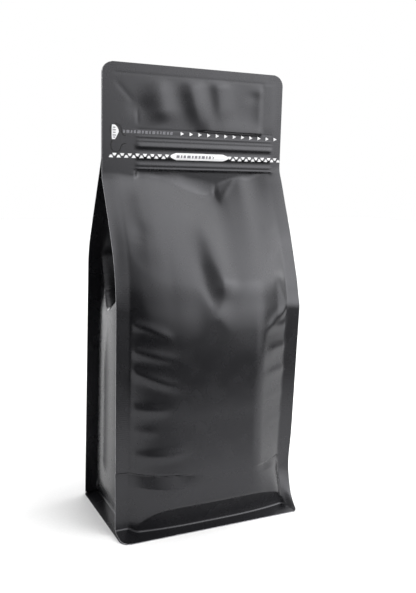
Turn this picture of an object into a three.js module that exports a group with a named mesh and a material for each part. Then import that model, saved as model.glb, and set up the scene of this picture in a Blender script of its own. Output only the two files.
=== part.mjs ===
// A filled flat-bottom pouch of laminated film, standing shut: box-shaped body, fins welded along its four
// upright corners, a roof that slopes up to a flat header with a press zipper, and a skirt round the base.
// Millimetres, +Z up, the front faces -Y, and the origin is the middle of the base on the floor.
import * as THREE from 'three';

// ---- Driving dimensions -------------------------------------------------------------------------------

const WIDTH = 140.6; // across the fins, the same from the base to the header
const BASE_DEPTH = 95.5; // front skirt to back skirt, on the floor
const HEIGHT = 326.4; // floor to the top seal

const FIN_REACH = 10; // how far each fin stands out past the body
const FIN_THICKNESS = 0.8; // two laminates welded together, with the slight curl they keep

const FRONT_FOOT = 32.4; // the front wall stands this far forward at the floor, before the skirt flares
const FRONT_LEAN = 0.036; // and comes forward by this share of the height
const FRONT_ROOF_SLOPE = 0.36; // the front of the roof falls back by this share of the height
const BACK_FOOT = 42;
const BACK_LEAN = -0.052;
const BACK_ROOF_SLOPE = 0.47;
const SHOULDER_ROUND = 3.5; // how softly a wall turns into the roof

const HEADER_FOOT = 262; // height where front and back meet and the flat header starts
const HEADER_THICKNESS = 2.0; // front, back and the folded gussets between them
const HEADER_CORNER_RADIUS = 8;
const ZIPPER_HEIGHT = 271.5; // middle of the zipper's profile
const ZIPPER_WIDTH = 9;
const ZIPPER_RISE = 0.7; // how far the profile stands out of the header on each side

const SKIRT_RISE = 4.5; // the front skirt is folded at this height
const SIDE_SKIRT_RISE = 22; // the side gussets run out to the skirt below this height
const BASE_EDGE = 0.8; // thickness of the skirt's rim on the floor
const BASE_CORNER_RADIUS = 7;

const FRONT_CROWN = 7.5; // how far the full front stands out between its fins
const BACK_CROWN = 7.0;
const SIDE_CROWN = 3.5;
const FULL_FROM = 70; // the contents push the faces out most between these heights
const FULL_TO = 150;
const SHOULDER_HEIGHT = 165; // the roof and the tuck of the gussets start here
const TUCK_FULL = 200; // the tuck is whole from this height
const TUCK_CLOSES = 246; // and shuts above this one, where the fins of a side come together
const ROOF_FOLD_SHARE = 0.62; // share of its free width by which a gusset tucks in under the roof

const FACE_SPANS = 14; // facets across the front and across the back
const SIDE_SPANS = 10; // facets across each gusset
const CORNER_STEPS = 5; // outlines through the header's round corners

const FILM_COLOUR = 0x2b2b2d;
const FILM_ROUGHNESS = 0.45;

// ---- Profiles of the pouch against height -----------------------------------------------------------------

const halfWidth = WIDTH / 2;
const weld = halfWidth - FIN_REACH;
const halfHeader = HEADER_THICKNESS / 2;
const halfBase = BASE_DEPTH / 2;
const zipperFoot = ZIPPER_HEIGHT - ZIPPER_WIDTH / 2;
const zipperTop = ZIPPER_HEIGHT + ZIPPER_WIDTH / 2;
const cornerFoot = HEIGHT - HEADER_CORNER_RADIUS;
const arcMiddle = 1 - Math.SQRT1_2; // how near the middle of a quarter arc comes to its corner

const { clamp, lerp, smoothstep } = THREE.MathUtils;

// The lesser of two lengths, rounded off where they cross.
function softMin(a, b, round) {
  const gap = clamp(0.5 + (b - a) / (4 * round), 0, 1);
  return lerp(b, a, gap) - 2 * round * gap * (1 - gap);
}

// Distance of a fin from the middle plane: a leaning wall, then the roof up to the header.
function finPlane(z, foot, lean, roofSlope) {
  const wall = foot + lean * z;
  const roof = halfHeader + Math.max(0, HEADER_FOOT - z) * roofSlope;
  return Math.max(halfHeader, softMin(wall, roof, SHOULDER_ROUND));
}

// The skirt flares from the wall out to the rim of the base.
function withSkirt(z, wall, rise) {
  const above = clamp((z - BASE_EDGE) / (rise - BASE_EDGE), 0, 1);
  return lerp(halfBase, wall, above ** 0.7);
}

function frontPlane(z) {
  return withSkirt(z, finPlane(z, FRONT_FOOT, FRONT_LEAN, FRONT_ROOF_SLOPE), SKIRT_RISE);
}

function backPlane(z) {
  return withSkirt(z, finPlane(z, BACK_FOOT, BACK_LEAN, BACK_ROOF_SLOPE), SIDE_SKIRT_RISE);
}

// 0 at the floor and the header, 1 where the contents push hardest.
function fullness(z) {
  return smoothstep(z, SKIRT_RISE, FULL_FROM) * (1 - smoothstep(z, FULL_TO, HEADER_FOOT));
}

// A face stands out between its fins, steeply beside them and flat in the middle.
function crown(across) {
  return Math.cos((clamp(across, -1, 1) * Math.PI) / 2) ** 0.8;
}

function zipperRise(z) {
  return ZIPPER_RISE * Math.max(0, 1 - ((z - ZIPPER_HEIGHT) / (ZIPPER_WIDTH / 2)) ** 2);
}

// How far a gusset folds in between front and back as the roof closes over it.
function gussetFold(z) {
  const fullGap = frontPlane(SHOULDER_HEIGHT) + backPlane(SHOULDER_HEIGHT);
  const gap = frontPlane(z) + backPlane(z);
  const slack = Math.sqrt(Math.max(0, fullGap ** 2 - gap ** 2)) / 2;
  const open = 1 - smoothstep(z, TUCK_CLOSES, HEADER_FOOT);
  return ROOF_FOLD_SHARE * slack * smoothstep(z, SHOULDER_HEIGHT, TUCK_FULL) * open;
}

// 1 where the fins are sunk in a solid edge: in the header and at the rim of the base.
function sunkShare(z) {
  const base = (1 - clamp(z / SIDE_SKIRT_RISE, 0, 1)) ** 2;
  return Math.max(base, smoothstep(z, TUCK_CLOSES + 4, HEADER_FOOT));
}

// 1 on the floor, where the corners are those of the base, and 0 above the skirt.
function rimShare(z) {
  return (1 - clamp(z / SKIRT_RISE, 0, 1)) ** 2;
}

// Half the width at a height: the header's top corners are round.
function reach(z) {
  const intoCorner = Math.max(0, z - cornerFoot);
  const inset = HEADER_CORNER_RADIUS - Math.sqrt(HEADER_CORNER_RADIUS ** 2 - intoCorner ** 2);
  return halfWidth - inset;
}

// ---- One closed outline at a height ---------------------------------------------------------------------

// Points of one face between its welds: [across, out from the middle plane].
function faceRow(plane, bulge) {
  const row = [];
  for (let i = 0; i <= FACE_SPANS; i++) {
    const across = (2 * i) / FACE_SPANS - 1;
    row.push([weld * across, plane + bulge * crown(across)]);
  }
  return row;
}

// The three points round the edge of a fin, which is a rounded corner at the rim of the base.
function finTip(z, plane) {
  const round = lerp(FIN_THICKNESS / 2, BASE_CORNER_RADIUS, rimShare(z));
  const tip = reach(z);
  const depth = Math.max(FIN_THICKNESS, round);
  return [
    [tip - round, plane],
    [tip - arcMiddle * round, plane - arcMiddle * depth],
    [tip, plane - depth],
  ];
}

// Points of one gusset, from its front fin to its back fin: [out from the middle, along Y].
function gussetRow(z, front, back) {
  const clear = lerp(FIN_THICKNESS, BASE_CORNER_RADIUS + 0.5, rimShare(z));
  const sunk = sunkShare(z);
  const root = lerp(weld, reach(z) - 0.02, sunk);
  const row = [];
  for (let i = 0; i <= SIDE_SPANS; i++) {
    const along = (2 * i) / SIDE_SPANS - 1;
    const out = SIDE_CROWN * fullness(z) * crown(along) * (1 - sunk);
    const tuck = gussetFold(z) * (1 - Math.abs(along)) * (1 - sunk);
    const y = lerp(-front + clear, back - clear, i / SIDE_SPANS);
    row.push([root + out - tuck, y]);
  }
  return row;
}

// Counter-clockwise seen from above: front, right gusset, back, left gusset.
function outline(z) {
  const front = frontPlane(z);
  const back = backPlane(z);
  const frontRow = faceRow(front, FRONT_CROWN * fullness(z) + zipperRise(z)).map(([x, y]) => [x, -y]);
  const backRow = faceRow(back, BACK_CROWN * fullness(z) + zipperRise(z)).reverse();
  const frontTip = finTip(z, front).map(([x, y]) => [x, -y]);
  const backTip = finTip(z, back).reverse();
  const gusset = gussetRow(z, front, back);
  const mirrored = (row) => row.map(([x, y]) => [-x, y]).reverse();
  return [
    ...frontRow,
    ...frontTip,
    ...gusset,
    ...backTip,
    ...backRow,
    ...mirrored(backTip),
    ...mirrored(gusset),
    ...mirrored(frontTip),
  ];
}

// ---- Heights of the outlines ------------------------------------------------------------------------------

function between(from, to, steps) {
  return Array.from({ length: steps }, (_, i) => lerp(from, to, i / steps));
}

const heights = [
  ...between(0, BASE_EDGE, 1),
  ...between(BASE_EDGE, SKIRT_RISE, 4),
  ...between(SKIRT_RISE, SIDE_SKIRT_RISE, 5),
  ...between(SIDE_SKIRT_RISE, FULL_TO, 10),
  ...between(FULL_TO, TUCK_FULL, 9),
  ...between(TUCK_FULL, TUCK_CLOSES, 6),
  ...between(TUCK_CLOSES, HEADER_FOOT, 6),
  ...between(HEADER_FOOT, zipperFoot, 1),
  ...between(zipperFoot, zipperTop, 5),
  ...between(zipperTop, cornerFoot, 4),
];
for (let i = 0; i <= CORNER_STEPS; i++) {
  const turn = (i / CORNER_STEPS) * (Math.PI / 2);
  heights.push(cornerFoot + HEADER_CORNER_RADIUS * Math.sin(turn));
}

// ---- The skin through the outlines, shut by a flat base and a flat top ------------------------------------

function loftedSkin(levels) {
  const rings = levels.map((z) => outline(z).map(([x, y]) => [x, y, z]));
  const count = rings[0].length;
  const positions = rings.flat(2);
  const index = [];
  for (let level = 0; level < rings.length - 1; level++) {
    for (let i = 0; i < count; i++) {
      const a = level * count + i;
      const b = level * count + ((i + 1) % count);
      index.push(a, b, b + count, a, b + count, a + count);
    }
  }
  const bottomMiddle = positions.length / 3;
  const topMiddle = bottomMiddle + 1;
  const topStart = (rings.length - 1) * count;
  positions.push(0, 0, levels[0], 0, 0, levels.at(-1));
  for (let i = 0; i < count; i++) {
    const next = (i + 1) % count;
    index.push(bottomMiddle, next, i);
    index.push(topMiddle, topStart + i, topStart + next);
  }
  const geometry = new THREE.BufferGeometry();
  geometry.setAttribute('position', new THREE.Float32BufferAttribute(positions, 3));
  geometry.setIndex(index);
  geometry.computeVertexNormals();
  return geometry;
}

const film = new THREE.MeshStandardMaterial({
  color: FILM_COLOUR,
  roughness: FILM_ROUGHNESS,
  metalness: 0,
});

const pouch = new THREE.Mesh(loftedSkin(heights), film);
pouch.name = 'pouch';

const root = new THREE.Group();
root.add(pouch);

export default root;
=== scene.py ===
# %% [markdown]
# # A filled flat-bottom pouch
# The object is a box-shaped bag of near-black laminated film. It is welded out of five webs: a front, a
# back, two side gussets and a base. This lesson makes each web as a grid that a few short functions bend
# into place, and gives it the thickness of film. It then lays the white print on the front, as thin shapes
# that follow the same functions. First the imported CAD model is loaded. It is the frame that the looks are
# fitted to, so its box is kept.

# %% Start with the imported model as a fixed frame
from math import pi, radians

import bmesh
import bpy
import numpy as np
from mathutils import Matrix, Vector


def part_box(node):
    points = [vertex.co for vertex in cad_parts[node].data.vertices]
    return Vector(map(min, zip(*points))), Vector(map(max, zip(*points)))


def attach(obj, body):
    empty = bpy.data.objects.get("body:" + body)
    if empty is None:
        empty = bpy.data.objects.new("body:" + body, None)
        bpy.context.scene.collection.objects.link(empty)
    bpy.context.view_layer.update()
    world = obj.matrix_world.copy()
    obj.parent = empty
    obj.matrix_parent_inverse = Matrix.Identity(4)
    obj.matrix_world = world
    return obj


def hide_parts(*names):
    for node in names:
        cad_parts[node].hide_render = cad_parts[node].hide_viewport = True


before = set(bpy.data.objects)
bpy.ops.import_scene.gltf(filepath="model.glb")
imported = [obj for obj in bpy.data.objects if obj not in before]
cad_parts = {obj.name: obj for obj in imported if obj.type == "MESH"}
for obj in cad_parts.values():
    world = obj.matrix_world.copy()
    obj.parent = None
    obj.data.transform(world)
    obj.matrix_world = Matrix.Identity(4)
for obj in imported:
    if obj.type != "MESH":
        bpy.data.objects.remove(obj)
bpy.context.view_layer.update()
MM = 0.001

# %% [markdown]
# ## The main sizes
# Lengths are in millimetres, because that is how a bag maker measures, and they turn into metres where a
# mesh is made. The outer sizes come from the frame, so the looks can't drift away from the solid that
# stands for them.

# %% Sizes in millimetres
HALF_WIDTH, HALF_BASE, HEIGHT = np.array(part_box("pouch")[1]) / MM
FIN = 10.0            # width of the welded strip along each upright corner
WELD = HALF_WIDTH - FIN
HEADER_HALF = 1.0     # half the thickness of the flat header
HEADER_FOOT = 262.0   # height where the roof would meet the header, if the film didn't hang there
print(f"fins reach {HALF_WIDTH:.1f} mm out, the pouch stands {HEIGHT:.1f} mm high")


# %% [markdown]
# ## The camera
# The camera stands to the left of the front, a little lower than the zipper, and looks slightly down. Its
# place and turn were fitted to the corners of the pouch in the picture. The focal length follows from the
# fitted scale in pixels, because Blender's sensor of 36 mm spans the longer side of the picture.

# %% Camera
PICTURE_HEIGHT = 593
FOCAL_PIXELS = 743.7
SENSOR = 36.0
CAMERA_AT = (-227.4, -497.2, 256.2)
CAMERA_TURN, CAMERA_DOWN, CAMERA_ROLL = -25.81, 9.69, 1.46   # in degrees
camera_data = bpy.data.cameras.new("camera")
camera_data.sensor_width = SENSOR
camera_data.lens = FOCAL_PIXELS / PICTURE_HEIGHT * SENSOR
camera = bpy.data.objects.new("camera", camera_data)
bpy.context.scene.collection.objects.link(camera)
camera.matrix_world = (
    Matrix.Translation(Vector(CAMERA_AT) * MM)
    @ Matrix.Rotation(radians(CAMERA_TURN), 4, "Z")
    @ Matrix.Rotation(radians(90 - CAMERA_DOWN), 4, "X")
    @ Matrix.Rotation(radians(CAMERA_ROLL), 4, "Z")
)
bpy.context.scene.camera = camera
print(f"lens {camera_data.lens:.1f} mm")


# %% [markdown]
# ## Ramps and soft corners
# Each face of the pouch is described by how far it stands out from the middle plane at a place (x, z), x
# going across and z going up. It is put together from planes: a skirt, a wall, a roof and the flat header.
# `soft_min` and `soft_max` take the nearer or the farther of two planes and round the corner between them,
# as film does when it turns from one to the other. `smooth` lets a shape come in gently from one place to
# another.

# %% Ramps and soft corners
def smooth(a, b, value):
    """0 up to a, 1 from b, and an S-shaped ramp between. It falls with value where a is more than b."""
    t = np.clip((value - a) / (b - a), 0, 1)
    return t * t * (3 - 2 * t)


def soft_min(a, b, rounding):
    """The lesser of two lengths. Where they are equal it is less than both by half the rounding."""
    share = np.clip(0.5 + (b - a) / (4 * rounding), 0, 1)
    return b + (a - b) * share - 2 * rounding * share * (1 - share)


def soft_max(a, b, rounding):
    return -soft_min(-a, -b, rounding)


def across(x, power):
    """1 in the middle of a face, falling to 0 at the welds, and more steeply there for a higher power."""
    return 1 - np.clip(np.abs(x) / WELD, 0, 1) ** power


print(f"a rounding of 3 mm cuts a corner by {-soft_min(0, 0, 3):.1f} mm")


# %% [markdown]
# ## Creases, puckers and dents
# Film doesn't stretch, so a full pouch shows small folds where it bends two ways at once. They could be
# brushed in by hand with a sculpting tool, but a function can be placed to a tenth of a millimetre and
# changed later. Four shapes make them all. A `bump` is a soft oval swelling, and a `fold` is a ridge or a
# valley along an arc. A `crease` is sharp on one side and fades out softly on the other, and a `hinge` has
# a flat slope on its soft side. Each gives a height for every point of a web at once.

# %% Four kinds of relief
def bump(x, z, at, size, height, turn=0.0):
    """An oval swelling: size is its half length and half width, turn is in degrees."""
    c, s = np.cos(radians(turn)), np.sin(radians(turn))
    a = (x - at[0]) * c + (z - at[1]) * s
    b = (z - at[1]) * c - (x - at[0]) * s
    return height * np.exp(-(a / size[0]) ** 2 - (b / size[1]) ** 2)


def along_arc(x, z, start, end, bend, fade):
    """Distance to the left of an arc that bows out by bend, and its strength: 1, fading to 0 at both ends."""
    run = np.array(end, float) - np.array(start, float)
    length = np.hypot(*run)
    t = ((x - start[0]) * run[0] + (z - start[1]) * run[1]) / length ** 2
    d = ((z - start[1]) * run[0] - (x - start[0]) * run[1]) / length
    inside = np.clip(t, 0, 1)
    strength = smooth(0, fade[0], t) * smooth(0, fade[1], 1 - t)
    return d - 4 * bend * inside * (1 - inside), strength


def fold(x, z, start, end, height, width, bend=0.0, fade=(0.3, 0.3)):
    """A ridge, or a valley if height is negative. fade is the share of its length that each end takes."""
    d, strength = along_arc(x, z, start, end, bend, fade)
    return height * strength * np.exp(-(d / width) ** 2)


def crease(x, z, start, end, height, sharp, soft, bend=0.0, fade=(0.3, 0.3)):
    """It fades out over soft to the left of its line and over sharp to the right of it."""
    d, strength = along_arc(x, z, start, end, bend, fade)
    return height * strength * np.exp(-(d / np.where(d > 0, soft, sharp)) ** 2)


def hinge(x, z, start, end, height, sharp, soft, bend=0.0, fade=(0.3, 0.3)):
    """A crease whose soft side is a flat slope, as where a panel was folded while the bag lay flat."""
    d, strength = along_arc(x, z, start, end, bend, fade)
    side = np.where(d > 0, np.clip(1 - d / soft, 0, 1), np.exp(-(d / sharp) ** 2))
    return height * strength * side


def reach_of(relief, foot, top):
    """Says how deep and how high a relief goes between two heights."""
    x, z = np.meshgrid(np.arange(-WELD, WELD), np.arange(foot, top, 0.5))
    heights = relief(x, z)
    return f"{heights.min():.1f} to {heights.max():.1f} mm"


# %% [markdown]
# ## The header
# Above the tear line the front and back films lie flat on each other. They are welded along the top and
# down both sides, and at the right the weld's edge shows. What lies between puckers a little. A faint
# diagonal at the left shows where a gusset is folded away inside.

# %% Relief of the header
def header_relief(x, z):
    inner = smooth(WELD - 5, WELD - 10, x) * smooth(-57, -50, x)
    inner = inner * smooth(320, 314, z) * smooth(280.5, 283.5, z)
    puckers = (
        crease(x, z, (-32, 321), (-24, 286), 1.0, 10, 8, fade=(0.4, 0.3))
        + crease(x, z, (-8, 322), (6, 280), 1.3, 7, 9, fade=(0.3, 0.5))
        + crease(x, z, (15, 324), (22, 284), 0.9, 6, 9, fade=(0.25, 0.4))
        + crease(x, z, (52, 322), (55, 286), 0.6, 7, 5)
        + bump(x, z, (-42, 297), (8, 6), -0.4)
        + bump(x, z, (12, 293), (7, 5), 0.3, turn=40)
        + bump(x, z, (47, 309), (7, 4), -0.3)
        + crease(x, z, (-2, 284.2), (64, 282.2), 0.9, 1.2, 8, fade=(0.2, 0.1))
    )
    diagonal = crease(x, z, (-63, 315), (-47, 299), -0.12, 0.8, 2.5)
    dent = fold(x, z, (-45, 297), (-44.6, 285), -0.18, 0.9)
    seal_line = -0.10 * np.exp(-((z - 319.4) / 0.6) ** 2) * smooth(WELD + 3, WELD, np.abs(x))
    side_seal = smooth(53.8, 54.8, x) * smooth(WELD + 6, WELD, x) * smooth(322, 318, z) * smooth(283, 288, z)
    return inner * puckers + diagonal + dent + seal_line + 0.12 * side_seal


print("header relief:", reach_of(header_relief, 283, HEIGHT))


# %% [markdown]
# ## The press zipper
# The zipper is a strip welded inside the header, just above the roof. Its two profiles press through the
# film as broad low ridges, and the edges of its flanges as narrow ones. It stops short of the pouch's
# edges. Below its lower edge the film is free, so it drops back by a small ledge there, and above it the
# tear line is a faint groove. Each ridge is a bell curve of its own height and width.

# %% Relief of the zipper
ZIPPER_EDGE = 254.5   # the film is free below this height


def zipper_span(x):
    """1 over the length of the press zipper, 0 past its ends."""
    return smooth(-47, -43.5, x) * smooth(63.5, 61, x)


def zipper_relief(x, z):
    ridges = sum(
        height * np.exp(-((z - at) / width) ** 2)
        for at, height, width in ((277.6, 0.12, 0.7), (274.9, 0.14, 0.7), (271.2, 0.50, 1.9),
                                  (264.0, 0.50, 1.9), (258.2, 0.22, 1.3), (255.5, 0.25, 0.7))
    )
    tear_line = -0.08 * np.exp(-((z - 282.5) / 0.6) ** 2)
    ledge = -1.2 * smooth(ZIPPER_EDGE + 0.7, ZIPPER_EDGE - 0.3, z) - 0.07 * np.clip(ZIPPER_EDGE - z, 0, 22)
    return zipper_span(x) * (ridges + tear_line + ledge)


print("zipper relief:", reach_of(zipper_relief, ZIPPER_EDGE, 283))


# %% [markdown]
# ## The folds of the roof
# Below the zipper the film hangs straight for a short way before it turns out into the roof: 16.5 mm in the
# middle, and less towards the sides. There it is held back, and it is let out again further down. The
# contents and the gathered gussets give the roof long soft folds, the largest a ridge that runs down its
# middle. Short puckers come in from the right weld.

# %% Relief of the roof
LET_OUT = 50.0        # the film is let out over this length below the place where it turns


def hang(x):
    """How far the film hangs straight below the zipper before it turns out into the roof."""
    middle = 5 * smooth(-40, -20, x) + 8 * smooth(-26, 4, x) - 11 * smooth(12, 40, x)
    sides = 2.5 * smooth(-20, -40, x) + 1.5 * smooth(22, 34, x) * smooth(60, 45, x) - 8 * smooth(40, 72, x)
    return 3.5 + middle + sides


def held_back(x, z, slope):
    """How far the hanging film holds the roof back."""
    below = ZIPPER_EDGE - hang(x) - z
    at_start = (HEADER_FOOT - ZIPPER_EDGE + hang(x)) * slope + 1.2 * smooth(-64, -40, x) * smooth(74, 50, x)
    return at_start * np.clip(1 - below / LET_OUT, 0, 1) ** 1.5


def roof_relief(x, z):
    inner = smooth(WELD, WELD - 6, x) * smooth(-WELD - 2, -WELD + 15, x)
    folds = (
        crease(x, z, (-42, 252), (-32, 165), 1.8, 16, 22, fade=(0.2, 0.45))
        + crease(x, z, (-2, 228), (7, 164), 3.1, 9, 8.5, fade=(0.35, 0.3))
        + crease(x, z, (15, 254), (17, 228), -1.2, 9, 1.8, fade=(0.2, 0.5))
        + fold(x, z, (37, 256), (29, 182), 0.6, 7, bend=1, fade=(0.15, 0.4))
        + fold(x, z, (-12, 206), (-1, 156), -0.5, 5.5, fade=(0.4, 0.4))
        + fold(x, z, (18, 233), (34, 252), 0.35, 1.8)
        + bump(x, z, (9, 236), (7, 8), -1.3)
        + bump(x, z, (-51, 214), (7, 7), -0.6)
        + fold(x, z, (-62, 210.5), (-46, 206.5), -0.15, 1.0)
    )
    puckers = sum(fold(x, z, (64, at), (44, at - 2), 0.25, 3.5) for at in (216, 198, 181))
    return inner * (folds + puckers)


print(f"the film hangs {hang(4.0):.1f} mm in the middle")
print("roof relief:", reach_of(roof_relief, 165, ZIPPER_EDGE))


# %% [markdown]
# ## The puckers of the wall
# The welds hold the film while the contents push it out, so short puckers fan out from both fins. Folds
# that the bag got while it lay flat cross the wall near its foot: one at each side, which are hinges, and a
# faint line between them.

# %% Relief of the wall
def wall_relief(x, z):
    inner = smooth(WELD, WELD - 3, np.abs(x))
    left = (
        fold(x, z, (-68, 153), (-30, 139), 0.75, 3.6, bend=2.8, fade=(0.05, 0.35))
        + fold(x, z, (-66, 135), (-22, 125), 0.85, 4.0, fade=(0.15, 0.5))
        + fold(x, z, (-66, 121.5), (-20, 104), 0.85, 4.0, fade=(0.15, 0.5))
        + fold(x, z, (-66, 92), (-28, 92), 0.65, 3.6, fade=(0.2, 0.5))
        + fold(x, z, (-66, 77), (-38, 76), 0.30, 3.2, fade=(0.2, 0.5))
        + fold(x, z, (-66, 59), (-14, 62), 0.60, 3.6, bend=-1.5, fade=(0.2, 0.4))
    )
    right = (
        fold(x, z, (68, 160), (36, 139), 0.75, 3.6, bend=-2.5, fade=(0.05, 0.35))
        + fold(x, z, (66, 146), (40, 144), 0.50, 3.4, fade=(0.2, 0.4))
        + fold(x, z, (66, 129), (38, 127), 0.60, 3.6, fade=(0.2, 0.4))
        + fold(x, z, (66, 111.5), (34, 109), 0.65, 3.6, fade=(0.2, 0.5))
        + fold(x, z, (66, 94), (36, 92), 0.25, 3.2, fade=(0.2, 0.4))
        + fold(x, z, (66, 74), (40, 73), 0.22, 3.2, fade=(0.2, 0.4))
    )
    flat_crease = hinge(x, z, (-8, 42.3), (-74, 46.0), -1.6, 0.8, 9, fade=(0.35, 0.04))
    creases = (
        flat_crease
        + hinge(x, z, (66, 42.5), (28, 42), -0.9, 0.7, 5.5, bend=0.8, fade=(0.1, 0.4))
        + crease(x, z, (36, 42.2), (-20, 42.3), -0.06, 0.5, 1.5)
    )
    return inner * (left + right + creases) + 0.5 * (1 - inner) * flat_crease


print("wall relief:", reach_of(wall_relief, 20, 165))


# %% [markdown]
# ## Wall and roof of the front
# The front leans out more on the right than on the left, because the pouch is filled a little skew. Between
# its welds it swells: flat in the middle and steep beside the fins, which hold it back. On the right that
# steep part is a straight bevel. The roof slopes back to the header, and is fullest near the shoulder and
# on the right.

# %% Wall and roof
WALL_FOOT = 32.4      # how far the front fins stand from the middle plane at the floor
ROOF_SLOPE = 0.36     # how far the roof falls back for each millimetre of height
BEVEL = 24.5          # width of the bevel on the right


def front_wall(x, z):
    """How far the wall stands out: its foot, its lean, and the swell of the contents with all its creases."""
    bevel_end = WELD - 1.3
    bevel = soft_min(1, (bevel_end - np.minimum(np.abs(x), bevel_end)) / BEVEL, 0.10)
    section = across(x, 4.8)
    section = section + (bevel - section) * smooth(0, 20, x) * smooth(20, 50, z)
    less_at_shoulder = 1.5 + 0.5 * smooth(-10, -45, x) + 1.3 * smooth(5, 30, x)
    swell = 10.8 + 4.7 * smooth(85, 16, z) - less_at_shoulder * smooth(120, 175, z)
    lean = 0.018 * (1 + x / HALF_WIDTH)   # none at the left fin, most at the right one
    fin_curl = 1.6 * smooth(52, 72, x) * np.exp(-((z - 36) / 16) ** 2)
    full_corner = 5.5 * smooth(34, 8, z) * smooth(42, 60, x) * smooth(74, 60, x)
    return WALL_FOOT + lean * z - fin_curl + swell * section + full_corner + wall_relief(x, z)


def front_roof(x, z):
    """How far the roof stands out: a slope that swells, and that the film below the zipper holds back."""
    slope = ROOF_SLOPE + 0.025 * smooth(-30, -60, x)
    at_shoulder = smooth(215, 168, z)
    full = (3 + 3 * at_shoulder) * across(x, 2.4) + 5.0 * smooth(-5, 38, x) * at_shoulder * across(x, 2)
    fin_turn = (0.5 + 0.9 * smooth(235, 205, z)) * smooth(-70, -58, x)
    fin_turn = fin_turn * smooth(160, 180, z) * smooth(256, 246, z)
    return (HEADER_HALF + (HEADER_FOOT - z) * slope + full * smooth(256, 205, z)
            + fin_turn - held_back(x, z, slope) + roof_relief(x, z))


print(f"half way up, the middle of the wall stands {front_wall(0.0, 90.0):.1f} mm out")


# %% [markdown]
# ## The front as a whole
# Wall, roof and header are joined with soft corners. The shoulder between wall and roof is tight only in
# the middle, where the ridge of the roof ends, and beside the right fin. Just above the skirt the full wall
# hangs over and curves inwards, so there the film mirrors the dark skirt and not the pale floor. The skirt
# itself is the wall's lower strip, folded out and welded to the base film.

# %% The front, with its skirt
SKIRT_TOP = 0.62      # the rim of a web lies on the base film, so it starts two films above the floor
SKIRT_FOLD = 2.6      # height of the fold where a wall turns into the skirt
SKIRT_SLOPE = 4.6     # how far the skirt runs out for each millimetre that it drops
FOLD_RADIUS = 1.6


def front_body(x, z):
    """Wall, roof and header, without the skirt."""
    shoulder = 3.2 - 2.4 * np.exp(-((x + 1) / 9) ** 2) + 0.6 * smooth(-52, -60, x) - 2.7 * smooth(50, 60, x)
    header = HEADER_HALF + header_relief(x, z) + zipper_relief(x, z)
    header_turn = 0.8 + 1.0 * smooth(-30, -10, x) * smooth(18, 14, x)
    body = soft_max(header, soft_min(front_wall(x, z), front_roof(x, z), shoulder), header_turn)
    fold_line = 33 + 3.3 * smooth(-61, -56, x) + 3.4 * across(x, 3)
    above = np.clip(z - SKIRT_FOLD, -SKIRT_FOLD, 60)
    tucked = fold_line + 0.10 * above + 0.0185 * above * np.abs(above)
    fin_foot = 15 * np.exp(-z / 9) * smooth(62, 71, x)
    return soft_min(body, tucked, 0.45) + fin_foot


def with_skirt(z, wall, wall_foot):
    """Adds a rounded fold and the skirt that runs out from it to the rim on the floor."""
    tilt = np.arctan(SKIRT_SLOPE)
    runs_in = FOLD_RADIUS * (1 - np.cos(tilt))
    join = SKIRT_TOP + (HALF_BASE - wall_foot - runs_in) / SKIRT_SLOPE
    below_arc = np.clip(join + FOLD_RADIUS * np.sin(tilt) - z, 0, FOLD_RADIUS * np.sin(tilt))
    fillet = wall + FOLD_RADIUS - np.sqrt(FOLD_RADIUS ** 2 - below_arc ** 2)
    return np.maximum(fillet, HALF_BASE - SKIRT_SLOPE * (z - SKIRT_TOP))


def front_out(x, z):
    """How far the front film stands out from the middle plane."""
    return with_skirt(z, front_body(x, z), front_body(x, np.full_like(z, 3.0)))


print("the front reaches", reach_of(front_out, SKIRT_TOP, HEIGHT), "out from the middle plane")


# %% [markdown]
# ## Making a web
# `create_grid` gives a flat sheet whose corners are at -1 and 1. A placing function then moves every point
# of it. The rows are closest together where the film bends most. A Solidify modifier gives the sheet the
# thickness of film, with a second material on the cut edge, and is applied. Edges sharper than 50 degrees
# are then marked, so that the cut edge stays crisp next to the smooth face.

# %% Helpers for webs
FILM = 0.3            # a laminate of 0.15 mm, drawn thicker so that its cut edge shows


def spans(*stops):
    """Heights of the rows of a web: each stop is a height and the spacing from there to the next stop."""
    rows = []
    for (start, spacing), (end, _) in zip(stops, stops[1:]):
        count = max(1, round((end - start) / spacing))
        rows.extend(start + (end - start) * np.arange(count) / count)
    return np.array(rows + [stops[-1][0]])


def new_object(name, bm):
    """Turns a bmesh into an object of the scene."""
    mesh = bpy.data.meshes.new(name)
    bm.to_mesh(mesh)
    bm.free()
    made = bpy.data.objects.new(name, mesh)
    bpy.context.scene.collection.objects.link(made)
    return made


def bent_grid(name, columns, rows, place):
    """A grid of film. place is given u, -1 to 1 across it, and the heights of its points in millimetres."""
    bm = bmesh.new()
    bmesh.ops.create_grid(bm, x_segments=columns, y_segments=len(rows) - 1, size=1)
    flat = np.array([v.co for v in bm.verts])
    heights = np.interp(flat[:, 1], np.linspace(-1, 1, len(rows)), rows)
    for vert, spot in zip(bm.verts, place(flat[:, 0], heights)):
        vert.co = spot * MM
    return new_object(name, bm)


def give_thickness(web, materials, thickness=FILM):
    """Solidify inwards, apply it, and keep the cut edge sharp."""
    for material in materials:
        web.data.materials.append(material)
    solidify = web.modifiers.new("film", "SOLIDIFY")
    solidify.thickness = thickness * MM
    solidify.offset = -1
    solidify.material_offset_rim = len(materials) - 1
    solid = bpy.data.meshes.new_from_object(web.evaluated_get(bpy.context.evaluated_depsgraph_get()))
    web.modifiers.clear()
    web.data = solid
    solid.shade_smooth()
    solid.set_sharp_from_angle(angle=radians(50))
    print(f"{web.name}: {len(solid.polygons)} faces")


# %% [markdown]
# ## Round corners
# The knife rounds the header's two top corners and the four corners of the skirt, so that they don't prick.
# The one at the front right of the skirt is cut nearly square. The outermost strip of each web is pulled in
# there: this moves points of the grid and keeps its rows and columns, where a cut would leave odd faces.

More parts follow.
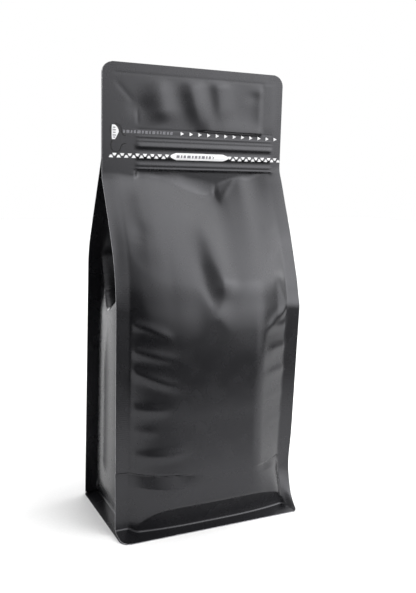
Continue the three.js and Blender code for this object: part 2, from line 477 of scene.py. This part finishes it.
# %% Round corners
TOP_CORNER = 8.0      # radius of the header's top corners
SKIRT_CORNER = 7.0    # radius of the skirt's corners
SQUARE_CORNER = 3.0   # radius of the one at the front right


def round_corner(x, y, z):
    """Pulls points in at the corners, and gives them as rows of x, y, z."""
    into_top = np.clip(z - (HEIGHT - TOP_CORNER), 0, TOP_CORNER)
    rim = np.where((x > 0) & (y < 0), SQUARE_CORNER, SKIRT_CORNER)
    into_rim = np.clip(np.abs(y) - (HALF_BASE - rim), 0, rim)
    shares = [(radius, np.sqrt(np.clip(1 - (into / radius) ** 2, 0.01, 1)))
              for radius, into in ((TOP_CORNER, into_top), (rim, into_rim))]
    for radius, share in shares:
        beyond = np.maximum(0, np.abs(x) - (HALF_WIDTH - radius))
        x = x - np.sign(x) * beyond * (1 - share)
    return np.stack([x, y, z], axis=1)


tip = round_corner(np.array([HALF_WIDTH]), np.zeros(1), np.array([HEIGHT]))
print(f"the header's top edge ends at x = {tip[0, 0]:.1f} mm")


# %% [markdown]
# ## Colours and nodes
# Colours are written as sRGB hex values, as a colour picker shows them, and one function turns them into
# the linear values that shaders take. One other function adds every node: it is given the node's inputs, as
# values or as outputs of other nodes, and its settings. The shader that a new material starts with is
# filled in the same way. `patches` makes the random unevenness that every finish here has.

# %% Helpers for materials
def linear(hex_colour):
    """An sRGB hex colour as the linear red, green, blue and alpha that shaders take."""
    parts = [int(hex_colour[i:i + 2], 16) / 255 for i in (1, 3, 5)]
    return [c / 12.92 if c <= 0.04045 else ((c + 0.055) / 1.055) ** 2.4 for c in parts] + [1.0]


def fill_inputs(tree, made, inputs):
    """Sets the inputs of a node, and links those that are given another node's output."""
    for key, value in inputs.items():
        if isinstance(value, bpy.types.NodeSocket):
            tree.links.new(value, made.inputs[key])
        else:
            made.inputs[key].default_value = value


def node(tree, kind, inputs=None, output=0, **settings):
    """Adds a node with its settings and inputs, and gives back one of its outputs."""
    made = tree.nodes.new("ShaderNode" + kind)
    for key, value in settings.items():
        setattr(made, key, value)
    fill_inputs(tree, made, inputs or {})
    return made.outputs[output]


def new_material(name):
    """A material, its node tree, its shader, and the place on the object, which its patterns read."""
    made = bpy.data.materials.new(name)
    made.use_nodes = True
    place = node(made.node_tree, "TexCoord", output="Object")
    return made, made.node_tree, made.node_tree.nodes["Principled BSDF"], place


def patches(tree, place, size_mm, detail, low, high, start=0.3, end=0.7):
    """Soft random patches of about this size on the object, spread between two values."""
    spots = node(tree, "TexNoise", {"Vector": place, "Scale": 1 / (size_mm * MM), "Detail": detail})
    return node(tree, "MapRange", {"Value": spots, "From Min": start, "From Max": end,
                                   "To Min": low, "To Max": high})


print("mid grey #808080 is", round(linear("#808080")[0], 3), "in linear light")


# %% [markdown]
# ## The matt film
# The web is a matt biaxially oriented polypropylene film, about 0.02 mm thick, laminated over black layers.
# Its outer skin is a blend of two plastics that don't mix, so it roughened when the film was stretched. It
# could be drawn as an evenly rough plastic, but the real roughness is slight and uneven. That leaves the
# eye a satin sheen: soft highlights, a touch bluish, with a grain that only shows close up. The heated jaws
# that weld the fins have ribs, and press them into the film, less where the jaws are worn.

# %% Matt film
FILM_DARK, FILM_LIGHT = "#0e0e10", "#121214"
FILM_ROUGHNESS = 0.26
GRAIN = 1.2           # real grain is under 0.1 mm, too fine for the render, so it is drawn coarser
RIB_PITCH = 1.5       # real jaw ribs are about 1 mm apart, and are drawn wider for the same reason


def matt_film():
    made, tree, shader, place = new_material("matt_laminated_film")
    tone = patches(tree, place, 35, 2, 0, 1)
    x, z = (node(tree, "SeparateXYZ", {"Vector": place}, output=axis) for axis in "XZ")
    off_middle = node(tree, "Math", {0: x}, operation="ABSOLUTE")
    on_fin = node(tree, "MapRange", {"Value": off_middle, "From Min": (WELD - 0.5) * MM,
                                     "From Max": (WELD + 0.5) * MM, "To Min": 0, "To Max": 1})
    worn = patches(tree, place, 9, 2, 0, 1, 0.45, 0.65)
    phase = node(tree, "Math", {0: z, 1: 2 * pi / (RIB_PITCH * MM)}, operation="MULTIPLY")
    ribs = node(tree, "Math", {0: phase}, operation="SINE")
    for share in (on_fin, worn, 0.35):
        ribs = node(tree, "Math", {0: ribs, 1: share}, operation="MULTIPLY")
    speckle = node(tree, "TexNoise", {"Vector": place, "Scale": 1 / (GRAIN * MM), "Detail": 3})
    grain = node(tree, "Math", {0: speckle, 1: 0.5}, operation="SUBTRACT")
    height = node(tree, "Math", {0: ribs, 1: grain}, operation="ADD")
    fill_inputs(tree, shader, {
        "IOR": 1.5,
        "Specular Tint": (0.95, 0.95, 1.0, 1.0),
        "Base Color": node(tree, "Mix", {0: tone, 6: linear(FILM_DARK), 7: linear(FILM_LIGHT)}, output=2,
                           data_type="RGBA"),
        "Roughness": patches(tree, place, 12, 4, FILM_ROUGHNESS - 0.02, FILM_ROUGHNESS + 0.03),
        "Normal": node(tree, "Bump", {"Height": height, "Strength": 0.5, "Distance": 0.04 * MM}),
    })
    return made


FILM_LOOK = matt_film()
print(f"{FILM_LOOK.name}: {len(FILM_LOOK.node_tree.nodes)} nodes")


# %% [markdown]
# ## Inks, cut edge and paper
# These finishes differ only in colour, roughness and the size of their mottle, so one function makes them.
# The inks are gravure printed: tiny cells of ink run together, so a solid area stays a little mottled. The
# cut edge of the laminate is drawn pale grey, a painted highlight for the thin bright line that light makes
# along it. The die-cut slit is only painted shade, and the studio's floor is a pale uncoated paper.

# %% Mottled finishes
def mottled(name, dark, light, roughness, size_mm):
    """A plain finish with the slight unevenness that a printed or cut surface has."""
    made, tree, shader, place = new_material(name)
    spots = node(tree, "TexNoise", {"Vector": place, "Scale": 1 / (size_mm * MM), "Detail": 4})
    tone = patches(tree, place, size_mm, 4, 0, 1)
    fill_inputs(tree, shader, {
        "Base Color": node(tree, "Mix", {0: tone, 6: linear(dark), 7: linear(light)}, output=2,
                           data_type="RGBA"),
        "Roughness": patches(tree, place, size_mm, 4, roughness - 0.05, roughness + 0.05),
        "Normal": node(tree, "Bump", {"Height": spots, "Strength": 0.2, "Distance": 0.03 * MM}),
    })
    print(f"{name}: {dark} to {light}")
    return made


# The pale grey of the cut edge is a painted highlight.
EDGE_HIGHLIGHT_LOOK = mottled("cut_edge_painted_highlight", "#7c7c80", "#a4a4a8", 0.5, 3)
INK_LOOK = mottled("white_gravure_ink", "#dededf", "#eeeeef", 0.5, 0.8)
GREY_INK_LOOK = mottled("grey_gravure_ink", "#646468", "#74747a", 0.5, 0.8)
# The slit's near-black is painted shade, the dark of the gap.
SLIT_SHADE_LOOK = mottled("die_cut_slit_shade", "#040404", "#080808", 0.8, 1)
PAPER_LOOK = mottled("pale_paper", "#e4e4e4", "#e8e8e8", 0.9, 2)


# %% [markdown]
# ## The front web
# Now the front can be made. `front_point` turns a place on the front into a point in space. The print will
# use it too, with a small lift. The rows are closest together in the skirt and its fold. They are also
# close at the zipper and at the folds near the foot.

# %% Front web
def front_point(x, z, lift=0.0):
    return round_corner(x, -(front_out(x, z) + lift), z)


FRONT_ROWS = spans((SKIRT_TOP, 0.14), (1.8, 0.09), (5.2, 0.3), (8, 0.9), (20, 1.4), (30, 0.5), (47, 1.7),
                   (140, 1.3), (225, 1.0), (248, 0.5), (286, 1.3), (316, 0.8), (HEIGHT, 0))
front = bent_grid("front_film", 130, FRONT_ROWS, lambda u, z: front_point(u * HALF_WIDTH, z))
give_thickness(front, [FILM_LOOK, EDGE_HIGHLIGHT_LOOK])


# %% [markdown]
# ## The back
# The back is not seen in the picture, so it gets what the same film and the same filling would do to it:
# the zipper presses through, the header puckers, a few long folds run down its roof, and short puckers fan
# in from the fins.

# %% Relief of the back
def back_relief(x, z):
    inner = smooth(WELD, WELD - 5, np.abs(x))
    in_header = smooth(320, 313, z) * smooth(280, 284, z)
    header = (
        crease(x, z, (28, 321), (19, 283), 0.7, 10, 8, fade=(0.35, 0.4))
        + crease(x, z, (-13, 322), (-22, 283), 0.8, 8, 11, fade=(0.3, 0.4))
        + fold(x, z, (48, 312), (40, 288), -0.35, 6)
    )
    zipper = zipper_span(x) * sum(0.40 * np.exp(-((z - at) / 1.9) ** 2) for at in (271.2, 265.0))
    roof = (
        crease(x, z, (-17, 262), (-27, 168), 2.6, 13, 17, fade=(0.2, 0.35))
        + crease(x, z, (24, 260), (13, 176), -1.8, 9, 15, fade=(0.2, 0.35))
        + fold(x, z, (44, 254), (38, 186), 0.9, 7, bend=2, fade=(0.2, 0.4))
        + fold(x, z, (-46, 250), (-42, 200), -0.6, 6, fade=(0.2, 0.4))
    )
    puckers = sum(
        fold(x, z, (end * 66, at), (end * reach, at - 9), height, 4.2, fade=(0.1, 0.5))
        for end, at, reach, height in (
            (-1, 158, 28, 0.8), (-1, 141, 34, 0.6), (-1, 122, 38, 0.5), (-1, 88, 42, 0.35),
            (1, 162, 24, 0.8), (1, 146, 32, 0.7), (1, 127, 36, 0.4), (1, 103, 40, 0.45))
    )
    foot = crease(x, z, (62, 44), (8, 39), -0.9, 0.9, 7, fade=(0.2, 0.4))
    return inner * (in_header * header + zipper + roof + puckers + foot)


print("back relief:", reach_of(back_relief, 20, HEIGHT))


# %% [markdown]
# The back as a whole is put together like the front, from a skirt, a wall, a roof and the header. It leans
# in as it rises, where the front leans out. Its roof starts higher, and so it leans in more.

# %% Back web
BACK_FOOT = 42        # how far the back fins stand from the middle plane at the floor
BACK_SLOPE = 0.47     # how far the roof of the back leans in for each millimetre of height
BACK_TUCK = 38        # above the skirt, the back is held in to this distance


def back_out(x, z):
    """How far the back film stands out from the middle plane."""
    middle = across(x, 4)
    relief = back_relief(x, z)
    wall = BACK_FOOT - 0.052 * z + middle * (4 + 3 * smooth(14, 75, z)) + relief
    roof = HEADER_HALF + (HEADER_FOOT - z) * BACK_SLOPE + 6 * middle * smooth(256, 200, z) + relief
    body = soft_max(HEADER_HALF + relief, soft_min(wall, roof, 2.5), 0.5)
    tuck = np.maximum(BACK_TUCK + 0.3 * (z - 3.3), BACK_TUCK - 0.4)
    hanging = np.where(np.abs(x) < WELD, soft_min(body, tuck, 0.5), body)
    skirt = HALF_BASE - 3 * (z - SKIRT_TOP)
    return soft_max(skirt, hanging, 0.7)


def back_point(x, z):
    return round_corner(x, back_out(x, z), z)


BACK_ROWS = spans((SKIRT_TOP, 0.15), (6, 1), (30, 0.7), (50, 1.6), (255, 0.6), (288, 1.6), (318, 0.8),
                  (HEIGHT, 0))
back = bent_grid("back_film", 110, BACK_ROWS, lambda u, z: back_point(-u * HALF_WIDTH, z))
give_thickness(back, [FILM_LOOK, EDGE_HIGHLIGHT_LOOK])


# %% [markdown]
# ## The side gussets
# A gusset is welded to the front and the back along the fins. Below the shoulder the contents push it out,
# and the fold that it was made with stays as a soft ridge down its middle. Under the roof it folds in
# between front and back: the closer those are, the deeper it folds, because the width of its film stays the
# same. Above, it lies flat inside the header.

# %% Shape of a gusset
GUSSET_SWELL = 5.5
FULL_GAP = 76.0       # distance between the front and the back fins where the gusset is spread out
TUCK_START, TUCK_WHOLE = 155, 200   # heights between which the tuck widens until it takes the whole gusset
FIN_SHARE = 0.16      # share of the grid on each side that makes a fin


def gusset_out(w, z, side):
    """How far a gusset stands out, w being -1 at the front weld, 0 on the old fold and 1 at the back weld."""
    swell = GUSSET_SWELL * (1 - np.abs(w) ** 3.2) * smooth(-30, 30, z) * (1 - smooth(150, 182, z))
    old_fold = 1.5 * np.exp(-np.abs(w) / 0.09) * smooth(30, 42, z) * (1 - smooth(105, 152, z))
    fin = np.full_like(z, side * HALF_WIDTH)
    gap = front_out(fin, z) + back_out(fin, z)
    slack = np.sqrt(np.clip(FULL_GAP ** 2 - gap ** 2, 0, None)) / 2
    wide = 1.001 - (1 - np.clip((z - TUCK_START) / (TUCK_WHOLE - TUCK_START), 0, 1)) ** 2
    sloped = np.clip(1 - (np.hypot(w, 0.02) / wide) ** 4, 0, 1)
    tuck = (2 + slack) * sloped * smooth(TUCK_START, 172, z)
    bottom = soft_min(WELD + swell + old_fold - tuck, WELD + 0.30 * (z - SKIRT_FOLD), 0.5)
    return soft_max(bottom, HALF_WIDTH - SKIRT_SLOPE * (z - SKIRT_TOP), 0.7)


def gusset_place(side):
    """The placing function of the left gusset, side -1, or of the right one, side 1."""
    def place(u, z):
        u = side * u
        fin = np.full_like(z, side * HALF_WIDTH)
        front_y = -(front_out(fin, z) - 2 * FILM)
        back_y = back_out(fin, z) - 2 * FILM
        on_fin = np.clip((np.abs(u) - (1 - FIN_SHARE)) / FIN_SHARE, 0, 1)
        w = np.clip(u / (1 - FIN_SHARE), -1, 1)
        y = front_y + (back_y - front_y) * (w + 1) / 2
        x = gusset_out(w, z, side)
        x = x + on_fin * (HALF_WIDTH - x)
        y = np.clip(y, -(front_out(side * x, z) - 2 * FILM), back_out(side * x, z) - 2 * FILM)
        return round_corner(side * x, y, z)
    return place


# %% [markdown]
# Both gussets come from one placing function, which mirrors the left one. Their rows are closest in the
# skirt.

# %% Gusset webs
GUSSET_ROWS = spans((SKIRT_TOP, 0.12), (2.6, 0.25), (7, 0.8), (28, 0.6), (42, 1.4), (136, 0.9), (206, 1.6),
                    (HEIGHT, 0))
for side, name in ((-1, "left_gusset_film"), (1, "right_gusset_film")):
    web = bent_grid(name, 100, GUSSET_ROWS, gusset_place(side))
    give_thickness(web, [FILM_LOOK, EDGE_HIGHLIGHT_LOOK])


# %% [markdown]
# ## The base
# The base is one flat web, welded all round to the rim of the skirt. Here the rows of the grid run from the
# front to the back, so the placing function takes its second value as y. Its columns run backwards, which
# makes the web face down.

# %% Base web
def base_place(u, y):
    return round_corner(-u * HALF_WIDTH, y, np.zeros_like(u))


base = bent_grid("base_film", 60, spans((-HALF_BASE, 1), (-40, 2), (40, 1), (HALF_BASE, 0)), base_place)
give_thickness(base, [FILM_LOOK, EDGE_HIGHLIGHT_LOOK])

# %% [markdown]
# ## The top seal
# The last strip of the header is welded shut by the filling machine. Between the front and the back film
# lies the melted inner layer, so the pouch is closed when you look at it from above. It is a short web of
# its own, thick enough to fill the gap.

# %% Top seal
SEAL_FOOT = 319.8
SEAL_THICKNESS = 1.3


def seal_place(u, z):
    return round_corner(u * (HALF_WIDTH - 0.05), np.full_like(u, -SEAL_THICKNESS / 2), z)


top_seal = bent_grid("top_seal", 100, spans((SEAL_FOOT, 0.6), (HEIGHT - 0.05, 0)), seal_place)
give_thickness(top_seal, [FILM_LOOK], thickness=SEAL_THICKNESS)

# %% [markdown]
# All the film is there now, so the webs take the place of the CAD solid. The pouch has no moving part, so
# they all ride on its root body.

# %% The webs replace the CAD solid
WEBS = ("front_film", "back_film", "left_gusset_film", "right_gusset_film", "base_film", "top_seal")
for name in WEBS:
    piece = bpy.data.objects[name]
    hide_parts("pouch")
    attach(piece, "root")
print(f"{len(WEBS)} pieces of film replace the node pouch")


# %% [markdown]
# ## The print
# The marks could be painted in the material, but as thin shapes they stay crisp at any size and can be
# counted. Each is drawn flat, with x across and z up, and given a thickness of about a tenth of a
# millimetre. It is then wrapped onto the front with the same function that shaped the film.

# %% Drawing helpers
INK = 0.12            # thickness of the ink, far more than real, so that it stands clear of the film
INK_LIFT = 0.02       # gap between the film and the ink, so that the two don't touch


def wrap_print(name, bm, material, lift=INK_LIFT):
    """Thickens a flat drawing in the x, z plane and lays it on the front."""
    made = bmesh.ops.extrude_face_region(bm, geom=bm.faces[:], use_keep_orig=True)
    for v in made["geom"]:
        if isinstance(v, bmesh.types.BMVert):
            v.co.y = 1
    bmesh.ops.recalc_face_normals(bm, faces=bm.faces)
    flat = np.array([v.co for v in bm.verts])
    lifts = np.where(flat[:, 1] > 0.5, lift, lift + INK)
    for vert, spot in zip(bm.verts, front_point(flat[:, 0], flat[:, 2], lifts)):
        vert.co = spot * MM
    piece = new_object(name, bm)
    piece.data.materials.append(material)
    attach(piece, "root")
    print(f"{name}: {len(piece.data.polygons)} faces")


def add_shape(bm, corners, at):
    """A small flat shape: its corners are given round its middle."""
    bm.faces.new([bm.verts.new((at[0] + x, 0, at[1] + z)) for x, z in corners])


def add_dash(bm, at, length, height, slant=0.0):
    """A short printed bar, whose top may lean to the right."""
    add_shape(bm, ((-length / 2, -height / 2), (length / 2, -height / 2),
                   (length / 2 + slant, height / 2), (-length / 2 + slant, height / 2)), at)


def add_dash_row(bm, x, z, lengths, gap, height, slant):
    """Dashes of the given lengths, one after the other. It gives back where the next one would start."""
    for length in lengths:
        add_dash(bm, (x + length / 2, z), length, height, slant)
        x += length + gap
    return x


def add_stroke(bm, path, width):
    """A drawn line: a chain of edges along the path is extruded sideways by the width of the line."""
    points = [Vector((x, 0, z)) for x, z in path]
    chain = [bm.verts.new(point) for point in points]
    edges = [bm.edges.new(pair) for pair in zip(chain, chain[1:])]
    made = bmesh.ops.extrude_edge_only(bm, edges=edges)["geom"]
    copies = [v for v in made if isinstance(v, bmesh.types.BMVert)]
    for v in copies:
        i = min(range(len(points)), key=lambda k: (points[k] - v.co).length)
        along = points[min(i + 1, len(points) - 1)] - points[max(i - 1, 0)]
        v.co += Vector((-along.z, 0, along.x)).normalized() * width


# %% [markdown]
# ## The tear line
# A row of white arrows shows which way the tear strip is pulled. It sinks a little to the right, because
# print and cut are never quite square. One arrow is three points, repeated at a fixed pitch.

# %% Row of arrows
ARROWS_START, ARROWS_LINE = -11, 280.7
ARROW_PITCH, ARROW_DROP = 6.95, 0.09
arrow = ((-1.3, -1.3), (1.4, 0), (-1.3, 1.3))
bm = bmesh.new()
for i in range(12):
    add_shape(bm, arrow, (ARROWS_START + ARROW_PITCH * i, ARROWS_LINE - ARROW_DROP * i))
wrap_print("tear_arrows", bm, INK_LOOK)

# %% [markdown]
# To the left of the arrows stands a row of plain grey dashes. Their uneven lengths give the row the fine
# grain of print.

# %% Grey dashes beside the arrows
bm = bmesh.new()
dash_lengths = (1.5, 2.2, 1.2, 1.6, 2.6, 1.4, 2.0, 1.3, 2.4, 1.6, 1.2, 2.1, 1.5, 1.9)
dashes_end = add_dash_row(bm, -55.5, 280.6, dash_lengths, gap=0.95, height=2.0, slant=0.2)
wrap_print("grey_dashes", bm, GREY_INK_LOOK)
print(f"grey dashes end at x = {dashes_end:.1f} mm")

# %% [markdown]
# ## The zipper's row and its label
# A zigzag of small white blocks marks the zipper: one line of them stands on its wide side, the next on its
# narrow side. It runs from fin to fin and leaves room for a label in the middle.

# %% Zigzag row
ZIGZAG_PITCH, ZIGZAG_SHIFT = 5.53, 2.6   # between blocks of one line, and from one line to the other
ZIGZAG_LOW, ZIGZAG_HIGH = 263.7, 264.9
bm = bmesh.new()
for i in range(25):
    x = -64 + ZIGZAG_PITCH * i
    if x < -22 or 30 < x < 69:
        add_shape(bm, ((-1.6, -0.9), (1.6, -0.9), (0.6, 0.9), (-0.6, 0.9)), (x, ZIGZAG_LOW))
    x += ZIGZAG_SHIFT
    if x < -20 or 27 < x < 67:
        add_shape(bm, ((-0.6, -0.9), (0.6, -0.9), (1.6, 0.9), (-1.6, 0.9)), (x, ZIGZAG_HIGH))
wrap_print("zipper_zigzag", bm, INK_LOOK)

# %% [markdown]
# The label is a white bar whose ends are drawn out to points by a power curve. It starts as a grid, so that
# it has enough points to follow the ridge of the zipper under it.

# %% Label with pointed ends
LABEL_LINE = 264.7    # height of the label's middle
LABEL_MIDDLE, LABEL_HALF, LABEL_POINT = 3.0, 23.0, 4.5
LABEL_HALF_HEIGHT = 2.45
bm = bmesh.new()
bmesh.ops.create_grid(bm, x_segments=92, y_segments=6, size=1)
for v in bm.verts:
    along = v.co.x * LABEL_HALF
    to_tip = min(1, (LABEL_HALF - abs(along)) / LABEL_POINT)
    narrowed = 0.12 + 0.88 * to_tip ** 0.6
    v.co = (LABEL_MIDDLE + along, 0, LABEL_LINE + v.co.y * LABEL_HALF_HEIGHT * narrowed)
wrap_print("zipper_label", bm, INK_LOOK)

# %% [markdown]
# In the label stand grey dashes like those beside the arrows, and one plain chevron at their end.

# %% Marks in the label
bm = bmesh.new()
mark_lengths = (2.3, 1.2, 1.8, 2.7, 1.3, 2.0, 1.5, 2.4, 1.2, 1.7)
marks_end = add_dash_row(bm, -15.5, LABEL_LINE, mark_lengths, gap=1.0, height=1.9, slant=0.3)
chevron = ((-0.6, -0.9), (0.2, -0.9), (1.1, 0), (0.2, 0.9), (-0.6, 0.9), (0.3, 0))
add_shape(bm, chevron, (marks_end + 0.8, LABEL_LINE))
wrap_print("label_marks", bm, GREY_INK_LOOK, lift=INK_LIFT + INK)
print(f"label marks end at x = {marks_end + 1.9:.1f} mm")

# %% [markdown]
# ## The tear tab
# At the left end of the tear line a tab is die-cut: you lift it and pull the strip off along the line. Half
# of it is printed white, with a few small grey dashes.

# %% Tear tab
bm = bmesh.new()
tab = ((0, -4.9), (1.9, -4.9), (2.9, -3.6), (3.7, -1.8), (4.7, 0.2), (4.6, 1.6), (3.6, 3.4), (2.2, 4.9),
       (0, 4.9), (-0.3, 3), (-0.3, -3))
add_shape(bm, tab, (-63.2, 279.9))
wrap_print("tear_tab", bm, INK_LOOK)

bm = bmesh.new()
for z, length in ((283, 1.6), (281.3, 2.2), (279.6, 1.8), (277.8, 2.3), (276.4, 1.4)):
    add_dash(bm, (-61.7, z), length, 0.7)
wrap_print("tab_marks", bm, GREY_INK_LOOK, lift=INK_LIFT + INK)

# %% [markdown]
# The die leaves a slit round the tab. A real cut through the web would tear the grid, so its shade is painted
# as a
# thin dark line that lies on the film: one stroke on each side of the tab, and one that curls below it.

# %% Die cut
SLIT_WIDTH = 0.5      # real slits are a hair wide, so this is drawn wider to show
left_of_tab = ((-64.0, 284.6), (-64.5, 283), (-64.7, 281), (-64.5, 279), (-64.0, 277.6))
right_of_tab = ((-61.0, 285.4), (-59.4, 285.2), (-57.8, 284.2), (-56.9, 282.6), (-56.7, 280.6),
                (-56.0, 278.6), (-54.9, 277.7), (-53.3, 277.5))
below_tab = ((-62.6, 275.2), (-63.8, 273.6), (-64.4, 271.4), (-64.0, 268.8), (-62.6, 266.8), (-60.6, 266.1),
             (-58.4, 266.8), (-57.0, 268.4), (-56.5, 270.4), (-55.6, 271.6), (-54.4, 272.1), (-52.9, 272.1))
bm = bmesh.new()
for path in (left_of_tab, right_of_tab, below_tab):
    add_stroke(bm, path, SLIT_WIDTH)
wrap_print("die_cut", bm, SLIT_SHADE_LOOK)


# %% [markdown]
# ## The paper
# The pouch stands on a sheet of pale paper. It ends a short way in front of the pouch, so the foot of the
# front mirrors darkness there. The studio is measured in metres.

# %% Paper
PAPER_FRONT, PAPER_BACK, PAPER_HALF = -0.27, 3.0, 2.5
bm = bmesh.new()
bmesh.ops.create_grid(bm, x_segments=1, y_segments=1, size=1)
for v in bm.verts:
    v.co = (v.co.x * PAPER_HALF, PAPER_FRONT if v.co.y < 0 else PAPER_BACK, 0)
floor = new_object("paper", bm)
floor.data.materials.append(PAPER_LOOK)
print(f"the paper starts {-PAPER_FRONT:.2f} m in front of the pouch's middle")


# %% [markdown]
# ## Two softboxes
# The softbox at the right lights the paper beside the pouch and throws the shadow to the left. The one
# behind lights the paper at the back left, which the left gusset mirrors. The camera sees neither of them.

# %% Softboxes
def softbox(name, at, target, size, power):
    light = bpy.data.lights.new(name, "AREA")
    light.shape = "RECTANGLE"
    light.size, light.size_y = size
    light.energy = power
    made = bpy.data.objects.new(name, light)
    bpy.context.scene.collection.objects.link(made)
    direction = Vector(target) - Vector(at)
    made.matrix_world = Matrix.Translation(at) @ direction.to_track_quat("-Z", "Y").to_matrix().to_4x4()
    made.visible_camera = False
    print(f"{name}: {power} W")


softbox("side_softbox", (0.55, 0.02, 0.30), (0.15, -0.10, 0.0), (0.4, 0.4), 1.9)
softbox("back_softbox", (-0.45, 1.10, 0.45), (-0.20, 0.80, 0.0), (0.5, 0.5), 3.1)


# %% [markdown]
# ## The light of the room
# A satin film shows the room in soft patches, so the room is drawn in the background as soft glows. The key
# light is large, high at the front right. Lower at the right a smaller one gives the wall its bright band,
# and a faint one stands low in front. There is one overhead, and a bright backdrop that fades upwards. The
# rest of the room is grey above the horizon, and black below it. The camera sees plain white in place of
# all this.

# %% Glows
world = bpy.data.worlds.new("studio")
bpy.context.scene.world = world
world.use_nodes = True
tree = world.node_tree
direction = node(tree, "TexCoord", output="Generated")


def glow(towards, edge, full, strength):
    """A patch of light round a direction. The cosine of the angle to it is edge where the patch starts, and
    full where it has its whole strength."""
    facing = node(tree, "VectorMath", {0: direction, 1: Vector(towards).normalized()}, output="Value",
                  operation="DOT_PRODUCT")
    return node(tree, "MapRange", {"Value": facing, "From Min": edge, "From Max": full,
                                   "To Min": 0.0, "To Max": strength}, interpolation_type="SMOOTHSTEP")


room = glow((0, 0, 1), 0.01, 0.09, 0.7)
key = glow((0.62, -0.46, 0.77), 0.72, 1.0, 3.05)
low_right = glow((0.63, -0.75, 0.17), 0.88, 1.0, 3.2)
low_front = glow((0.17, -0.96, 0.21), 0.85, 1.0, 0.5)
overhead = glow((0.1, 0.35, 0.93), 0.7, 1.0, 1.2)
backdrop = node(tree, "Math", {0: glow((0, 1, 0), 0.0, 0.5, 1.8), 1: glow((0, 0, 1), 0.35, 0.05, 1.0)},
                operation="MULTIPLY")
light = room
for more in (key, low_right, low_front, overhead, backdrop):
    light = node(tree, "Math", {0: light, 1: more}, operation="ADD")
seen = node(tree, "LightPath", output="Is Camera Ray")
shown = node(tree, "Mix", {0: seen, 2: light, 3: 1.0}, data_type="FLOAT")
fill_inputs(tree, tree.nodes["Background"], {"Color": (1, 1, 1, 1), "Strength": shown})
bpy.context.scene.view_settings.view_transform = "Standard"
print(f"the room is drawn with {len(tree.nodes)} nodes")
